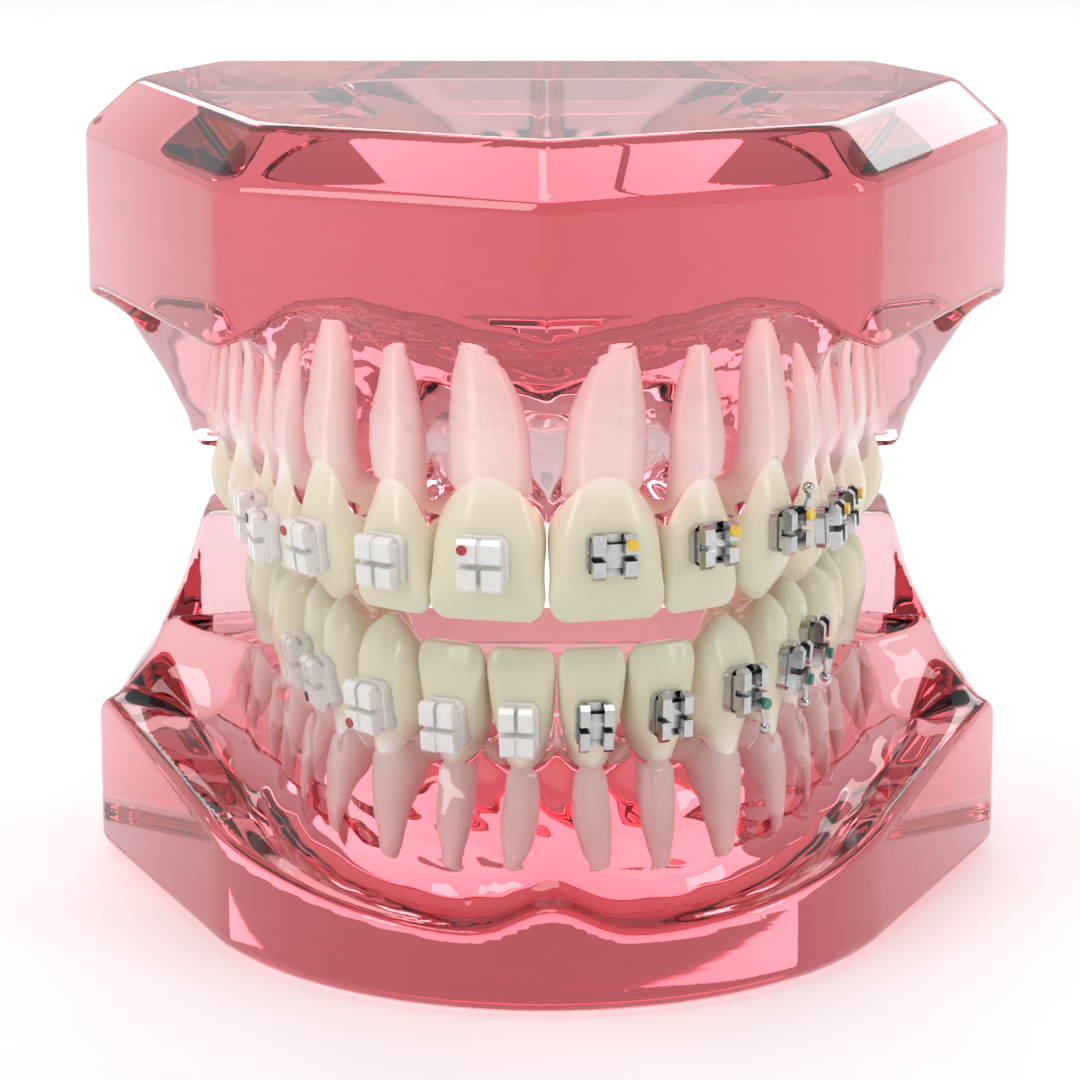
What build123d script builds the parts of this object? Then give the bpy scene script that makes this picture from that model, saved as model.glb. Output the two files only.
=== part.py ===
"""Orthodontic study typodont, in millimetres.

Two clear pink resin casts rest on each other in occlusion. Each holds fourteen cast-in teeth. The patient's
right side carries ceramic brackets and the left side metal ones, on the five front teeth of each quadrant.

Frame: +Z is up, -Y is the front of the mouth and +X is the patient's left. The origin is under the middle of
the closed model, on the face that it stands on.
"""

import os
from dataclasses import dataclass, replace
from math import cos, degrees, pi, radians, sin

from build123d import *

os.makedirs("parts", exist_ok=True)

# ---------------------------------------------------------------- driving dimensions
HALF_WIDTH = 43.2  # both casts, at the corner between side and heel
HALF_DEPTH = 33.0  # front point and back face, from the origin
HEIGHT = 73.0  # closed model
OCCLUSAL_Z = 32.0  # plane in which the back teeth meet
BACK_HALF_WIDTH = 33.5  # straight back edge of both casts
HEEL_Y = 15.5  # corner between side and heel
UPPER_CORNER = (27.3, -21.0)  # front corner of the upper cast
LOWER_CORNER = (30.5, -12.0)  # end of the rounded front of the lower cast
UPPER_CORNER_R = 5.0
HEEL_CORNER_R = 5.0
TOP_CHAMFER = 4.5
BOTTOM_CHAMFER = 1.2
VESTIBULE_BACK_Y = 18.0
HEEL_FRONT_Y = 12.0  # behind this a plain flank cuts the outer side of the ridge
HEEL_TOP_Z = 31.0  # lower cast behind the last molar
PAD_Y = 20.0  # start of the rise behind the last lower molar
PAD_RUN = 2.5
TONGUE_FLOOR_Z = 19.0
PALATE_TOP_Z = 51.0
RIDGE_INSIDE = 5.4  # from the middle of the front teeth to the tongue side of the ridge
RIDGE_SPREAD = 4  # degrees by which the cheek side of the ridge opens out more than the teeth do
CUSP_GAP = 0.1  # cusps stand this far from the occlusal plane
CANINE_GAP = 0.4
LINGUAL_TAPER = 0.22  # share of its width that a tooth loses towards the tongue
TOOTH_GAP = 0.06  # space at each contact point

SECTION_POINTS = 12  # points round one cross-section of a tooth
SLOT = 0.56  # archwire slot of 0.022 inch
WING_TOP = 1.8  # bracket thickness above the pad's middle
DOT_R = 0.5  # painted identification dot


@dataclass
class Arch:
    """A dental arch in plan: a round front, then a straight run that opens towards the back."""

    name: str
    centre_x: float
    radius: float
    centre_y: float
    sweep: float  # half angle of the round front, in degrees
    crown_up: int  # +1 when the crowns point up
    gum_z: float  # gum margin at the front
    gum_slope: float  # rise of the gum margin towards the back, per millimetre
    front_gap: float  # the biting edges of the incisors stand this far from the occlusal plane

    def at(self, s):
        """Point and heading in degrees, s millimetres from the midline towards the patient's left."""
        a = min(s / self.radius, radians(self.sweep))
        run = max(0.0, s - self.radius * radians(self.sweep))
        x = self.centre_x + self.radius * sin(a) + run * cos(a)
        y = self.centre_y - self.radius * cos(a) + run * sin(a)
        return x, y, degrees(a)

    def gum_level(self, y):
        return self.gum_z + self.gum_slope * (y + HALF_DEPTH)


@dataclass
class Tooth:
    """One tooth of a quadrant. Sizes are the natural ones of an adult tooth."""

    name: str
    kind: str
    width: float  # taken up along the arch, at the tooth's axis
    depth: float
    crown: float
    root: float
    neck_width: float
    neck_depth: float
    tip: float  # degrees that the crown leans towards the lip
    metal: tuple = ()  # metal bracket: pad width and height, then its place as a share of the crown
    ceramic: tuple = ()


UPPER = Arch("upper", 0.0, 20.0, -6.0, 76.0, -1, 44.4, -0.085, 0.8)
LOWER = Arch("lower", 0.8, 17.2, -6.8, 74.0, 1, 20.0, 0.0, 1.6)

UPPER_TEETH = [
    Tooth("central_incisor", "incisor", 8.9, 7.0, 11.2, 12.2, 6.8, 6.2, 4, (4.3, 3.6, 0.47), (4.4, 4.5, 0.53)),
    Tooth("lateral_incisor", "incisor", 6.7, 6.2, 10.2, 12.0, 5.0, 5.2, 4, (4.0, 3.6, 0.42), (4.2, 4.5, 0.55)),
    Tooth("canine", "canine", 7.5, 8.0, 11.4, 13.6, 5.8, 6.8, 2, (3.8, 3.7, 0.44), (4.1, 4.5, 0.56)),
    Tooth("first_premolar", "premolar", 6.9, 9.0, 9.2, 12.4, 5.2, 7.8, 1, (3.6, 3.7, 0.43), (3.9, 4.5, 0.53)),
    Tooth("second_premolar", "premolar", 6.8, 9.0, 8.8, 12.2, 5.0, 7.8, 1, (3.6, 3.7, 0.42), (3.9, 4.5, 0.48)),
    Tooth("first_molar", "molar", 10.2, 11.0, 8.4, 12.4, 8.0, 9.8, 0),
    Tooth("second_molar", "molar", 9.6, 10.8, 8.0, 11.6, 7.4, 9.4, 0),
]
LOWER_TEETH = [
    Tooth("central_incisor", "incisor", 5.2, 6.0, 10.0, 9.8, 3.4, 5.0, 5, (3.2, 4.0, 0.38), (3.4, 4.5, 0.34)),
    Tooth("lateral_incisor", "incisor", 5.6, 6.2, 10.0, 10.0, 3.6, 5.2, 5, (3.3, 4.0, 0.42), (3.7, 4.5, 0.33)),
    Tooth("canine", "canine", 6.7, 7.4, 11.0, 10.4, 4.8, 6.4, 3, (3.7, 4.0, 0.45), (4.1, 4.5, 0.32)),
    Tooth("first_premolar", "premolar", 7.0, 7.8, 11.0, 10.4, 4.7, 6.4, 1, (3.6, 4.0, 0.42), (3.8, 4.5, 0.30)),
    Tooth("second_premolar", "premolar", 7.1, 8.2, 11.0, 10.4, 4.9, 6.8, 0, (3.6, 4.0, 0.45), (3.8, 4.5, 0.30)),
    Tooth("first_molar", "molar", 11.0, 10.4, 10.6, 10.6, 8.8, 8.8, 0),
    Tooth("second_molar", "molar", 10.4, 10.0, 10.0, 10.4, 8.2, 8.6, 0),
]

# Sections through the outer side of each cast as (millimetres out from the middle of the teeth, height),
# at the front of the mouth: first the ridge's flank and the fold, then the ledge out to the wall.
UPPER_FLANK = ((3.5, 38.0), (3.8, 50.0), (4.6, 57.4), (5.4, 59.2), (6.4, 58.3))
UPPER_LEDGE = ((7.4, 57.1), (11.0, 57.6), (16.0, 58.8), (40.0, 60.0))
UPPER_TILT = -6.5  # degrees by which the vestibule rises towards the back
UPPER_PIVOT_Z = 52.0
LOWER_FLANK = ((3.6, 26.0), (4.0, 16.0), (4.9, 11.4), (6.4, 8.6), (9.0, 7.2))
LOWER_LEDGE = ((11.4, 8.2), (16.0, 8.8), (40.0, 9.0))
LOWER_TILT = 8.5
LOWER_PIVOT_Z = 12.0
# The same behind the last molars, as (x, height).
UPPER_HEEL = ((50.0, 54.2), (43.5, 53.9), (39.3, 51.4), (35.6, 45.7), (33.2, 41.0), (32.6, 34.0), (50.0, 34.0))
LOWER_HEEL = ((50.0, 13.0), (41.5, 13.4), (37.5, 18.4), (34.5, 24.5), (32.3, 32.0), (50.0, 32.0))


# ---------------------------------------------------------------- shared helpers
def tooth_plane(arch, tooth, s):
    """Plane through the neck of a tooth: y points to the lip or cheek and z to the crown's tip."""
    x, y, heading = arch.at(s)
    gap = {"incisor": arch.front_gap, "canine": CANINE_GAP}.get(tooth.kind, CUSP_GAP)
    neck_z = OCCLUSAL_Z - arch.crown_up * (tooth.crown + gap)
    along = Vector(cos(radians(heading)), sin(radians(heading)), 0) * -arch.crown_up
    up = Vector(0, 0, arch.crown_up)
    lip = up.cross(along)
    lean = radians(tooth.tip)
    return Plane(origin=(x, y, neck_z), x_dir=along, z_dir=up * cos(lean) + lip * sin(lean))


def rounded_section(width, depth, squareness):
    """Points of a superellipse, squarer above 2, that narrows towards the tongue."""
    points = []
    for i in range(SECTION_POINTS):
        a = 2 * pi * i / SECTION_POINTS
        c, s = cos(a), sin(a)
        x = abs(c) ** (2 / squareness) * width / 2
        y = abs(s) ** (2 / squareness) * depth / 2
        x *= 1 + LINGUAL_TAPER / 2 * s
        points.append((x if c >= 0 else -x, y if s >= 0 else -y))
    return points


def section_face(plane, height, width, depth, face, squareness):
    """One cross-section of a tooth, its lip side at the given distance from the tooth's axis."""
    shift = face - depth / 2
    with BuildSketch(plane.offset(height)) as section:
        with BuildLine():
            Spline([(x, y + shift) for x, y in rounded_section(width, depth, squareness)], periodic=True)
        make_face()
    return section.sketch


# ---------------------------------------------------------------- teeth
def crown_sections(t):
    """Cross-sections of the crown, from the neck to the biting edge."""
    neck = (0.0, t.neck_width, t.neck_depth, 0.50 * t.neck_depth, 2.1)
    if t.kind == "incisor":
        return [
            neck,
            (0.32 * t.crown, 0.92 * t.width, 0.96 * t.depth, 0.50 * t.depth, 2.3),
            (0.65 * t.crown, 1.04 * t.width, 0.58 * t.depth, 0.45 * t.depth, 2.6),
            (0.92 * t.crown, 1.09 * t.width, 0.27 * t.depth, 0.34 * t.depth, 3.0),
            (t.crown, 1.04 * t.width, 0.14 * t.depth, 0.27 * t.depth, 2.6),
        ]
    if t.kind == "canine":
        return [
            neck,
            (0.35 * t.crown, 0.92 * t.width, 0.98 * t.depth, 0.50 * t.depth, 2.2),
            (0.66 * t.crown, 1.02 * t.width, 0.68 * t.depth, 0.45 * t.depth, 2.3),
            (0.86 * t.crown, 0.74 * t.width, 0.36 * t.depth, 0.33 * t.depth, 2.1),
            (t.crown, 0.16 * t.width, 0.12 * t.depth, 0.20 * t.depth, 2.0),
        ]
    return [
        neck,
        (0.42 * t.crown, 0.92 * t.width, t.depth, 0.50 * t.depth, 2.5),
        (0.74 * t.crown, 0.94 * t.width, 0.94 * t.depth, 0.46 * t.depth, 2.6),
        (t.crown, 0.76 * t.width, 0.68 * t.depth, 0.35 * t.depth, 2.5),
    ]


def root_sections(t):
    """Cross-sections of a single root, from its tip to the neck."""
    return [
        (-t.root, 1.1, 1.2, 0.3, 2.0),
        (-0.80 * t.root, 0.50 * t.neck_width, 0.52 * t.neck_depth, 0.26 * t.neck_depth, 2.0),
        (-0.40 * t.root, 0.80 * t.neck_width, 0.84 * t.neck_depth, 0.42 * t.neck_depth, 2.0),
    ]


def molar_root_places(arch, t):
    """Centres (along the arch, buccal) of the roots: two on a lower molar, three on an upper one."""
    spread = 0.27 * t.neck_width
    if arch is LOWER:
        return [(-spread, 0.0), (spread, 0.0)]
    return [(-spread, 0.22 * t.neck_depth), (spread, 0.22 * t.neck_depth), (0.0, -0.24 * t.neck_depth)]


def groove_cutter(plane, t):
    """Parts the top of a back tooth into its cusps with one long groove, and a cross groove on a molar."""
    top = plane.offset(t.crown)
    reach = 0.40 * t.depth
    floor = 0.22 * t.crown
    with BuildPart() as cutter:
        with BuildSketch(Plane(origin=top.origin, x_dir=plane.y_dir, z_dir=plane.x_dir)):
            Polygon((-reach, 0.5), (0, -floor), (reach, 0.5), align=None)
        extrude(amount=t.width, both=True)
        if t.kind == "molar":
            half = 0.32 * t.width
            with BuildSketch(Plane(origin=top.origin, x_dir=plane.x_dir, z_dir=-plane.y_dir)):
                Polygon((-half, 0.5), (0, -0.8 * floor), (half, 0.5), align=None)
            extrude(amount=t.depth, both=True)
    return cutter.part


def build_tooth(arch, t, plane):
    """One whole tooth of the left side, crown and roots in one piece."""
    with BuildPart() as tooth:
        if t.kind == "molar":
            trunk = (-0.22 * t.root, 0.94 * t.neck_width, 0.92 * t.neck_depth, 0.46 * t.neck_depth, 2.3)
            loft([section_face(plane, *row) for row in [trunk, *crown_sections(t)]])
            for along_arch, buccal in molar_root_places(arch, t):
                foot_point = plane.from_local_coords((1.25 * along_arch, buccal, -t.root))
                foot = Plane(foot_point, plane.x_dir, plane.z_dir)
                neck = Plane(plane.from_local_coords((along_arch, buccal, 0)), plane.x_dir, plane.z_dir)
                across = 0.5 * t.neck_width if buccal or arch is LOWER else 0.6 * t.neck_width
                along = 0.86 * t.neck_depth if arch is LOWER else 0.46 * t.neck_depth
                with BuildSketch(foot):
                    Ellipse(0.7, 0.9)
                with BuildSketch(neck.offset(-0.05 * t.root)):
                    Ellipse(across / 2, along / 2)
                loft()
        else:
            loft([section_face(plane, *row) for row in [*root_sections(t), *crown_sections(t)]])
        if t.kind in ("premolar", "molar"):
            add(groove_cutter(plane, t), mode=Mode.SUBTRACT)
    return tooth.part


# ---------------------------------------------------------------- brackets
def bracket_plane(arch, t, plane, tooth, share):
    """Plane on the labial face where a bracket is bonded: x distal, y up, z away from the tooth."""
    probe = Axis(plane.from_local_coords((0, 0, share * t.crown)), plane.y_dir)
    hits = tooth.find_intersection_points(probe)
    point, normal = max(hits, key=lambda hit: plane.to_local_coords(hit[0]).Y)
    return Plane(origin=point, x_dir=plane.x_dir * -arch.crown_up, z_dir=normal)


def bracket_body(plane, pad_w, pad_h, tooth):
    """Pad with its back shaped to the tooth, and the stem that carries the wings."""
    with BuildPart() as body:
        with BuildSketch(plane.offset(-0.9)):
            RectangleRounded(pad_w, pad_h, 0.9)
        extrude(amount=1.35)
        add(tooth, mode=Mode.SUBTRACT)
        with BuildSketch(plane.offset(0.3)):
            RectangleRounded(0.76 * pad_w, 0.56 * pad_h, 0.3)
        extrude(amount=0.6)
    return body.part


def wing_column(plane, start, width, reach_up, reach_down):
    """Two tie wings in line, one above and one below the archwire slot, from start in x."""
    side = Plane(plane.from_local_coords((start, 0, 0)), x_dir=plane.y_dir, z_dir=plane.x_dir)
    with BuildPart() as column:
        with BuildSketch(side):
            for way, reach in ((1, reach_up), (-1, reach_down)):
                with BuildLine():
                    Polyline(
                        (way * SLOT / 2, 0.3),
                        (way * SLOT / 2, WING_TOP),
                        (way * (reach - 0.35), WING_TOP),
                        (way * reach, WING_TOP - 0.4),
                        (way * reach, 1.0),
                        (way * (reach - 0.3), 0.85),
                        (way * (reach - 0.55), 0.95),
                        (way * (reach - 0.65), 0.3),
                        close=True,
                    )
                make_face()
        extrude(amount=width)
        with BuildSketch(side):
            Rectangle(2 * reach_up - 1.3, 0.8, align=(Align.CENTER, Align.MIN))
        extrude(amount=width)
    return column.part


def ball_hook(plane, x, gum, reach):
    """A bent post that ends in a ball, pointing at the gum."""
    base = plane.from_local_coords((x, gum * (reach - 0.4), 1.4))
    elbow = plane.from_local_coords((x + 0.15, gum * (reach + 0.6), 1.6))
    ball = plane.from_local_coords((x + 0.25, gum * (reach + 1.45), 1.5))
    with BuildPart() as hook:
        with BuildLine():
            post = Polyline(base, elbow, ball)
        with BuildSketch(Plane(origin=base, z_dir=post % 0)):
            Circle(0.26)
        sweep(transition=Transition.ROUND)
        with Locations(ball):
            Sphere(0.52)
    return hook.part


def metal_bracket(plane, pad, gum, tooth, hooked):
    """A twin bracket of steel: four tie wings parted by the archwire slot and by a gap in the middle."""
    pad_w, pad_h, _ = pad
    reach = pad_h / 2 + 0.1
    width = 0.25 * pad_w
    with BuildPart() as bracket:
        add(bracket_body(plane, pad_w, pad_h, tooth))
        for start in (-0.44 * pad_w, 0.19 * pad_w):
            add(wing_column(plane, start, width, reach, reach))
        if hooked:
            add(ball_hook(plane, 0.33 * pad_w, gum, reach))
    return bracket.part


def ceramic_bracket(plane, pad, gum, tooth):
    """A ceramic bracket: one broad wing towards the gum and a pair of rounded wings on the other side."""
    pad_w, pad_h, _ = pad
    reach = pad_h / 2
    width = 0.37 * pad_w
    with BuildPart() as bracket:
        add(bracket_body(plane, pad_w, pad_h, tooth))
        for start in (-0.42 * pad_w, 0.05 * pad_w):
            add(wing_column(plane, start, width, reach, reach))
        with BuildSketch(plane.offset(0.6)):
            with Locations((0, gum * (SLOT / 2 + 0.25 * pad_h / 2 + 0.3))):
                Rectangle(0.5 * pad_w, 0.25 * pad_h + 0.6)
        extrude(amount=WING_TOP - 0.75)
    return bracket.part


def painted_dot(plane, pad, gum, radius, height):
    """The painted dot on the wing that is nearest the gum and the back of the mouth."""
    pad_w, pad_h, _ = pad
    with BuildPart() as dot:
        with BuildSketch(plane.offset(WING_TOP)):
            with Locations((0.31 * pad_w, gum * 0.32 * pad_h)):
                Circle(radius)
        extrude(amount=height)
    return dot.part


# ---------------------------------------------------------------- casts
def cast_outline(front_edge, corner):
    """A cast in plan: its front edge, two sides, two heel cuts and a straight back."""
    corner_x, corner_y = corner
    with BuildSketch() as outline:
        with BuildLine():
            front_edge((-corner_x, corner_y), (0, -HALF_DEPTH), (corner_x, corner_y))
            Polyline(
                (corner_x, corner_y),
                (HALF_WIDTH, HEEL_Y),
                (BACK_HALF_WIDTH, HALF_DEPTH),
                (-BACK_HALF_WIDTH, HALF_DEPTH),
                (-HALF_WIDTH, HEEL_Y),
                (-corner_x, corner_y),
            )
        make_face()
    return outline.sketch


def arch_ends(arch, reach_y):
    """Where the round front of an arch ends, and where its straight run crosses reach_y, from its centre."""
    a = radians(arch.sweep)
    end_x = arch.radius * sin(a)
    end_y = arch.centre_y - arch.radius * cos(a)
    return (end_x, end_y), (end_x + (reach_y - end_y) * cos(a) / sin(a), reach_y)


def vestibule_cutter(arch, flank, ledge, tilt, pivot_z):
    """The hollow between lip and ridge: the flank and ledge swept round the arch, tilted about the front."""
    outer = replace(arch, sweep=arch.sweep - RIDGE_SPREAD)
    (end_x, end_y), (back_x, back_y) = arch_ends(outer, VESTIBULE_BACK_Y)
    front_y = outer.centre_y - outer.radius
    up = (0, -sin(radians(tilt)), cos(radians(tilt)))
    flank = [(out, z - pivot_z) for out, z in flank]
    ledge = [(out, z - pivot_z) for out, z in ledge]
    far = OCCLUSAL_Z - pivot_z
    with BuildPart() as cutter:
        with BuildLine(Plane(origin=(arch.centre_x, -HALF_DEPTH, pivot_z), x_dir=(1, 0, 0), z_dir=up)) as route:
            Line((-back_x, back_y + HALF_DEPTH), (-end_x, end_y + HALF_DEPTH))
            ThreePointArc((-end_x, end_y + HALF_DEPTH), (0, front_y + HALF_DEPTH), (end_x, end_y + HALF_DEPTH))
            Line((end_x, end_y + HALF_DEPTH), (back_x, back_y + HALF_DEPTH))
        path = route.wires()[0]
        outward = (path % 0).cross(Vector(up))
        with BuildSketch(Plane(origin=path @ 0, x_dir=outward, z_dir=outward.cross(Vector(up)))):
            with BuildLine():
                Spline(*flank)
                Polyline(flank[-1], *ledge, (ledge[-1][0], far), (flank[0][0], far), flank[0])
            make_face()
        sweep(path=path)
    return cutter.part


def heel_cutter(arch, corners):
    """What is cut away outside the flank behind the last molars, on both sides."""
    with BuildPart() as cutter:
        for side in (-1, 1):
            with BuildSketch(Plane.XZ.offset(-HEEL_FRONT_Y)):
                Polygon(*[(side * x, z) for x, z in corners], align=None)
            extrude(amount=-HALF_DEPTH)
    return cutter.part


def inner_cutter(arch, start_z, top_z, taper):
    """The palate or the tongue space: everything inside the ridge, open at the back."""
    inner = replace(arch, radius=arch.radius - RIDGE_INSIDE, sweep=arch.sweep + RIDGE_SPREAD / 2)
    (end_x, end_y), (back_x, back_y) = arch_ends(inner, HALF_DEPTH + 12)
    with BuildPart() as cutter:
        with BuildSketch(Plane.XY.offset(start_z)):
            with BuildLine():
                ThreePointArc((-end_x, end_y), (0, inner.centre_y - inner.radius), (end_x, end_y))
                Polyline((end_x, end_y), (back_x, back_y), (-back_x, back_y), (-end_x, end_y))
            make_face()
        extrude(amount=top_z - start_z, taper=taper)
    return cutter.part.moved(Location((arch.centre_x, 0, 0)))


def gum_cutter(arch, back_y, back_z):
    """Everything on the tooth side of the gum margin, with a rise at back_y up to back_z."""
    beyond = OCCLUSAL_Z + arch.crown_up * 3
    with BuildPart() as cutter:
        with BuildSketch(Plane.YZ):
            Polygon(
                (-HALF_DEPTH - 1, arch.gum_level(-HALF_DEPTH - 1)),
                (back_y, arch.gum_level(back_y)),
                (back_y + PAD_RUN, back_z),
                (back_y + PAD_RUN, beyond),
                (-HALF_DEPTH - 1, beyond),
                align=None,
            )
        extrude(amount=HALF_WIDTH + 1, both=True)
    return cutter.part


def build_lower_cast(teeth):
    """The lower cast: rounded front, a step down into the vestibule and high heels behind the molars."""
    cutters = [
        vestibule_cutter(LOWER, LOWER_FLANK, LOWER_LEDGE, LOWER_TILT, LOWER_PIVOT_Z),
        heel_cutter(LOWER, LOWER_HEEL),
        inner_cutter(LOWER, HEEL_TOP_Z + 1, TONGUE_FLOOR_Z, 8),
        gum_cutter(LOWER, PAD_Y, HEEL_TOP_Z),
    ]
    with BuildPart() as cast:
        add(cast_outline(ThreePointArc, LOWER_CORNER))
        extrude(amount=HEEL_TOP_Z)
        upright = cast.edges().filter_by(Axis.Z)
        fillet(upright.filter_by(lambda e: abs(abs(e.center().X) - HALF_WIDTH) < 1), HEEL_CORNER_R)
        chamfer(cast.faces().sort_by(Axis.Z)[0].edges(), BOTTOM_CHAMFER)
        for cutter in [*cutters, *teeth]:
            add(cutter, mode=Mode.SUBTRACT)
    return cast.part


def build_upper_cast(teeth):
    """The upper cast: a block with a pointed front and a bevelled top, with a ridge and a palate below."""
    block_z = UPPER.gum_level(HALF_DEPTH) - 1
    cutters = [
        vestibule_cutter(UPPER, UPPER_FLANK, UPPER_LEDGE, UPPER_TILT, UPPER_PIVOT_Z),
        heel_cutter(UPPER, UPPER_HEEL),
        inner_cutter(UPPER, block_z - 1, PALATE_TOP_Z, 16),
        gum_cutter(UPPER, HALF_DEPTH + 1, UPPER.gum_level(HALF_DEPTH + 1)),
    ]
    with BuildPart() as cast:
        with Locations((0, 0, block_z)):
            add(cast_outline(Polyline, UPPER_CORNER))
        extrude(amount=HEIGHT - block_z)
        upright = cast.edges().filter_by(Axis.Z)
        fillet(upright.filter_by(lambda e: e.center().Y < 0 and abs(e.center().X) > 1), UPPER_CORNER_R)
        upright = cast.edges().filter_by(Axis.Z)
        fillet(upright.filter_by(lambda e: abs(abs(e.center().X) - HALF_WIDTH) < 1), HEEL_CORNER_R)
        chamfer(cast.faces().sort_by(Axis.Z)[-1].edges(), TOP_CHAMFER)
        for cutter in [*cutters, *teeth]:
            add(cutter, mode=Mode.SUBTRACT)
    return cast.part


# ---------------------------------------------------------------- assembly
def write(part, name):
    """Labels a finished piece and writes it to its own file."""
    part.label = name
    export_step(part, f"parts/{name}.step")


def build_quadrants(arch, teeth):
    """Writes the teeth, brackets and dots of one jaw and returns its teeth."""
    across = Plane.YZ.offset(arch.centre_x)
    placed = []
    dots = {}
    s = 0.0
    for t in teeth:
        s += (t.width + TOOTH_GAP) / 2
        plane = tooth_plane(arch, t, s)
        s += (t.width + TOOTH_GAP) / 2
        left = build_tooth(arch, t, plane)
        right = mirror(left, about=across)
        placed += [left, right]
        write(left, f"{arch.name}_left_{t.name}")
        write(right, f"{arch.name}_right_{t.name}")
        if not t.metal:
            continue
        gum = -arch.crown_up
        hooked = t.kind == "canine" or (arch is LOWER and t.kind == "premolar")
        bond = bracket_plane(arch, t, plane, left, t.metal[2])
        write(metal_bracket(bond, t.metal, gum, left, hooked), f"{arch.name}_left_{t.name}_metal_bracket")
        if arch is UPPER or hooked:
            colour = "yellow" if arch is UPPER else "green"
            dots.setdefault(colour, []).append(painted_dot(bond, t.metal, gum, DOT_R, 0.35))
        bond = bracket_plane(arch, t, plane, left, t.ceramic[2])
        ceramic = mirror(ceramic_bracket(bond, t.ceramic, gum, left), about=across)
        write(ceramic, f"{arch.name}_right_{t.name}_ceramic_bracket")
        if t.kind == "canine" or (arch is UPPER and t.name == "central_incisor") or t.name == "first_premolar":
            colour = "black" if t.kind == "premolar" else "red"
            dot = painted_dot(bond, t.ceramic, gum, DOT_R - 0.06, 0.1)
            dots.setdefault(colour, []).append(mirror(dot, about=across))
    for colour, group in dots.items():
        write(Compound(children=group), f"{arch.name}_{colour}_id_dots")
    return placed


upper_teeth = build_quadrants(UPPER, UPPER_TEETH)
lower_teeth = build_quadrants(LOWER, LOWER_TEETH)
write(build_upper_cast(upper_teeth), "upper_base")
write(build_lower_cast(lower_teeth), "lower_base")
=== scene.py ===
"""Looks of the clear pink orthodontic typodont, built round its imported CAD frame.

Shapes are worked out in millimetres and turned into metres when a mesh is made. The two resin casts and the
28 teeth are modelled here, and the brackets and painted dots are the CAD nodes with their own materials.
"""

from dataclasses import dataclass, field
from math import atan2, cos, pi, radians, sin, tan

import bpy
import numpy as np
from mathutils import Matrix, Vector


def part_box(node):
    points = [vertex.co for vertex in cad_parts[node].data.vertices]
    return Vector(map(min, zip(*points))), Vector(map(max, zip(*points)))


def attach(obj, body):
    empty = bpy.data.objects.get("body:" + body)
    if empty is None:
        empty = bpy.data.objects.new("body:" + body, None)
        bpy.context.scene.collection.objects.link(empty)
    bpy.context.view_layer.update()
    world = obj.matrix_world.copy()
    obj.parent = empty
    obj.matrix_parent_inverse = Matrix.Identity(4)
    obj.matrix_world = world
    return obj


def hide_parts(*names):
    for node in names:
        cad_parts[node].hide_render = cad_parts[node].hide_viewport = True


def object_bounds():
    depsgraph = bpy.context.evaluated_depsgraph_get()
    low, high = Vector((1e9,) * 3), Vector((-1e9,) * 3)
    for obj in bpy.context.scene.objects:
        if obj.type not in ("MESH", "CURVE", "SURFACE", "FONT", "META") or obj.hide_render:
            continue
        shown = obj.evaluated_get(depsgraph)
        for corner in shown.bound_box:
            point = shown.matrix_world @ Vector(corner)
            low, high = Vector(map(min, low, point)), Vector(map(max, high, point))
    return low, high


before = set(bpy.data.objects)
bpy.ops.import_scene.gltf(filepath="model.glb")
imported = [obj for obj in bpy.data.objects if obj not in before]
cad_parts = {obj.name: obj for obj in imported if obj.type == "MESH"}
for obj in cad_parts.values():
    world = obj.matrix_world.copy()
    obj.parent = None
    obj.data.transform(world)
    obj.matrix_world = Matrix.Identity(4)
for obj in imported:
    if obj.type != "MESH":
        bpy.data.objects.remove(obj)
cad_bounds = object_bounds()
MM = 0.001

# ---------------------------------------------------------------- driving dimensions, in millimetres
model_low, model_high = (Vector(corner) / MM for corner in (cad_bounds[0], cad_bounds[1]))
HALF_WIDTH = (model_high.x - model_low.x) / 2
HALF_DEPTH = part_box("lower_base")[1].y / MM
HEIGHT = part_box("upper_base")[1].z / MM
OCCLUSAL_Z = 32.0  # plane in which the back teeth meet
BACK_HALF_WIDTH = 33.5
HEEL_Y = 15.5  # corner between side and heel
UPPER_CORNER = (27.3, -21.0)
LOWER_CORNER = (30.5, -12.0)
TOP_CHAMFER = 4.5
BOTTOM_CHAMFER = 1.2
HEEL_TOP_Z = 31.0
PALATE_TOP_Z = 51.0
PALATE_SLOPE = radians(16)
SIDE_BORDER_Z = 54.0  # where the upper side walls end
LOWER_BORDER_Z = 13.2  # where the lower side walls end
TONGUE_FLOOR_Z = 19.0
TONGUE_SLOPE = radians(8)
PAD_START_Y = 20.0  # behind this the lower ridge steps up to the heel
PAD_RUN = 2.8
UPPER_TILT = 0.114  # rise of the upper gum per millimetre towards the back
LOWER_TILT = 0.149
HEEL_START_Y = 10.5
HEEL_RUN = 6.5  # length over which a ridge's wall turns into the heel's wall
RIDGE_INSIDE = 5.4  # from the middle of the front teeth to the tongue side of the ridge
CUSP_GAP = 0.1
CANINE_GAP = 0.4
TOOTH_GAP = 0.06
LINGUAL_TAPER = 0.22
BOND_LIFT = 0.05  # crowns stand this much proud, so that no gap shows under a bracket pad

# rounding of edges and corners, in millimetres
TOP_EDGE = 0.7
FOOT_EDGE = 0.5
HEEL_EDGE = 1.2
WALL_CORNER = 2.1
FRONT_CORNER = 1.5
BACK_CORNER = 1.0
RIDGE_CREST = 1.4
UPPER_GUM_EDGE = 1.6
LOWER_GUM_EDGE = 0.65
UPPER_BORDER_EDGE = 0.8
LOWER_BORDER_EDGE = 1.2
UPPER_FOLD = 5.0
LOWER_FOLD = 3.4
HEEL_FOLD = 1.8
PALATE_CORNER = 7.0
TONGUE_CORNER = 4.0

GRID = 0.48  # spacing of the grid on which a cast is worked out


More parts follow.
